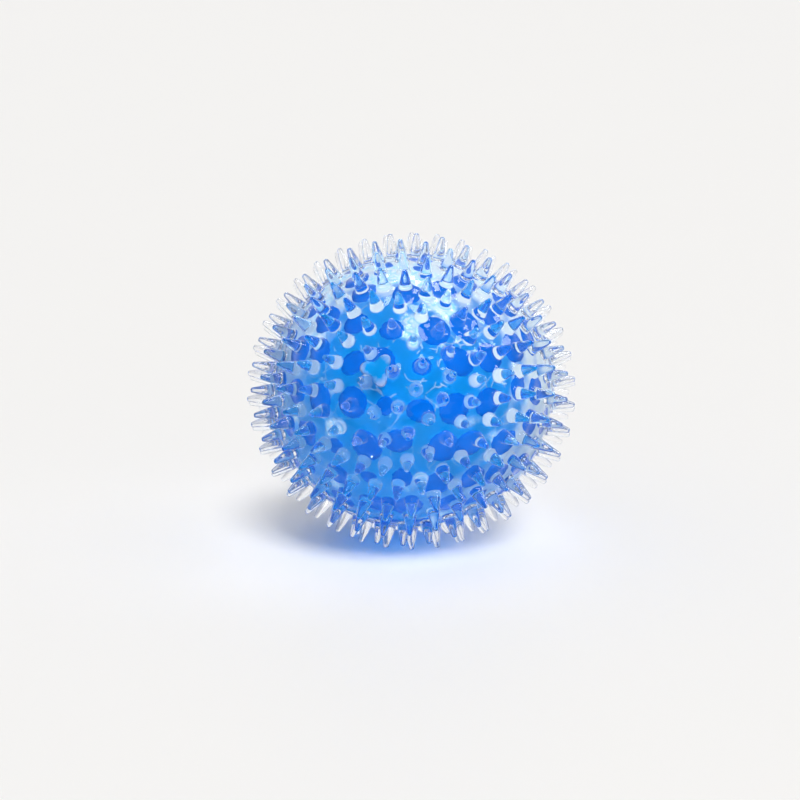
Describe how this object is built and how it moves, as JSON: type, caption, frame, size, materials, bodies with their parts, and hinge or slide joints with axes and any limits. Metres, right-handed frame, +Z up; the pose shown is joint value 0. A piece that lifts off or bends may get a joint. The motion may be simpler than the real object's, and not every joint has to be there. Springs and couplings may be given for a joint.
{
  "type": "spiky ball",
  "caption": "Soft clear squeeze ball covered in rows of blunt spikes and packed with blue gel beads, which shift inside it as it is kneaded or rolled.",
  "frame": {"origin": "on the floor, under the middle of the ball", "axes": "+Z up; the mould pole with the fill plug faces -Y, upwards and a little towards -X"},
  "size_m": [0.0698, 0.07, 0.0655],
  "materials": {
    "clear_rubber": "soft clear moulded rubber, glossy",
    "plug_rubber": "clear rubber plug, glued, slightly cloudy",
    "gel": "wet blue water gel"
  },
  "bodies": {
    "shell": {"spiky_shell": "clear_rubber", "fill_plug": "plug_rubber"},
    "bead_fill": {"beads_layer1_row10_string1": "gel", "beads_layer1_row1_string1": "gel", "beads_layer1_row2_string1": "gel", "beads_layer1_row2_string2": "gel", "beads_layer1_row3_string1": "gel", "beads_layer1_row3_string2": "gel", "beads_layer1_row3_string3": "gel", "beads_layer1_row4_string1": "gel", "beads_layer1_row4_string2": "gel", "beads_layer1_row4_string3": "gel", "beads_layer1_row4_string4": "gel", "beads_layer1_row5_string1": "gel", "beads_layer1_row5_string2": "gel", "beads_layer1_row5_string3": "gel", "beads_layer1_row5_string4": "gel", "beads_layer1_row6_string1": "gel", "beads_layer1_row6_string2": "gel", "beads_layer1_row6_string3": "gel", "beads_layer1_row6_string4": "gel", "beads_layer1_row7_string1": "gel", "beads_layer1_row7_string2": "gel", "beads_layer1_row7_string3": "gel", "beads_layer1_row7_string4": "gel", "beads_layer1_row8_string1": "gel", "beads_layer1_row8_string2": "gel", "beads_layer1_row8_string3": "gel", "beads_layer1_row9_string1": "gel", "beads_layer1_row9_string2": "gel", "beads_layer2_row1_string1": "gel", "beads_layer2_row2_string1": "gel", "beads_layer2_row2_string2": "gel", "beads_layer2_row3_string1": "gel", "beads_layer2_row3_string2": "gel", "beads_layer2_row3_string3": "gel", "beads_layer2_row4_string1": "gel", "beads_layer2_row4_string2": "gel", "beads_layer2_row4_string3": "gel", "beads_layer2_row5_string1": "gel", "beads_layer2_row5_string2": "gel", "beads_layer2_row5_string3": "gel", "beads_layer2_row6_string1": "gel", "beads_layer2_row6_string2": "gel", "beads_layer2_row7_string1": "gel", "beads_layer3_row1_string1": "gel", "beads_layer3_row2_string1": "gel", "beads_layer3_row2_string2": "gel", "beads_layer3_row3_string1": "gel", "beads_layer3_row3_string2": "gel", "beads_layer3_row4_string1": "gel", "centre_bead": "gel"}
  },
  "joints": [
    {"name": "fill_swirl", "type": "hinge", "parent": "shell", "child": "bead_fill", "pos_m": [0, 0, 0.0319], "axis": [0, 0, 1], "continuous": true}
  ]
}
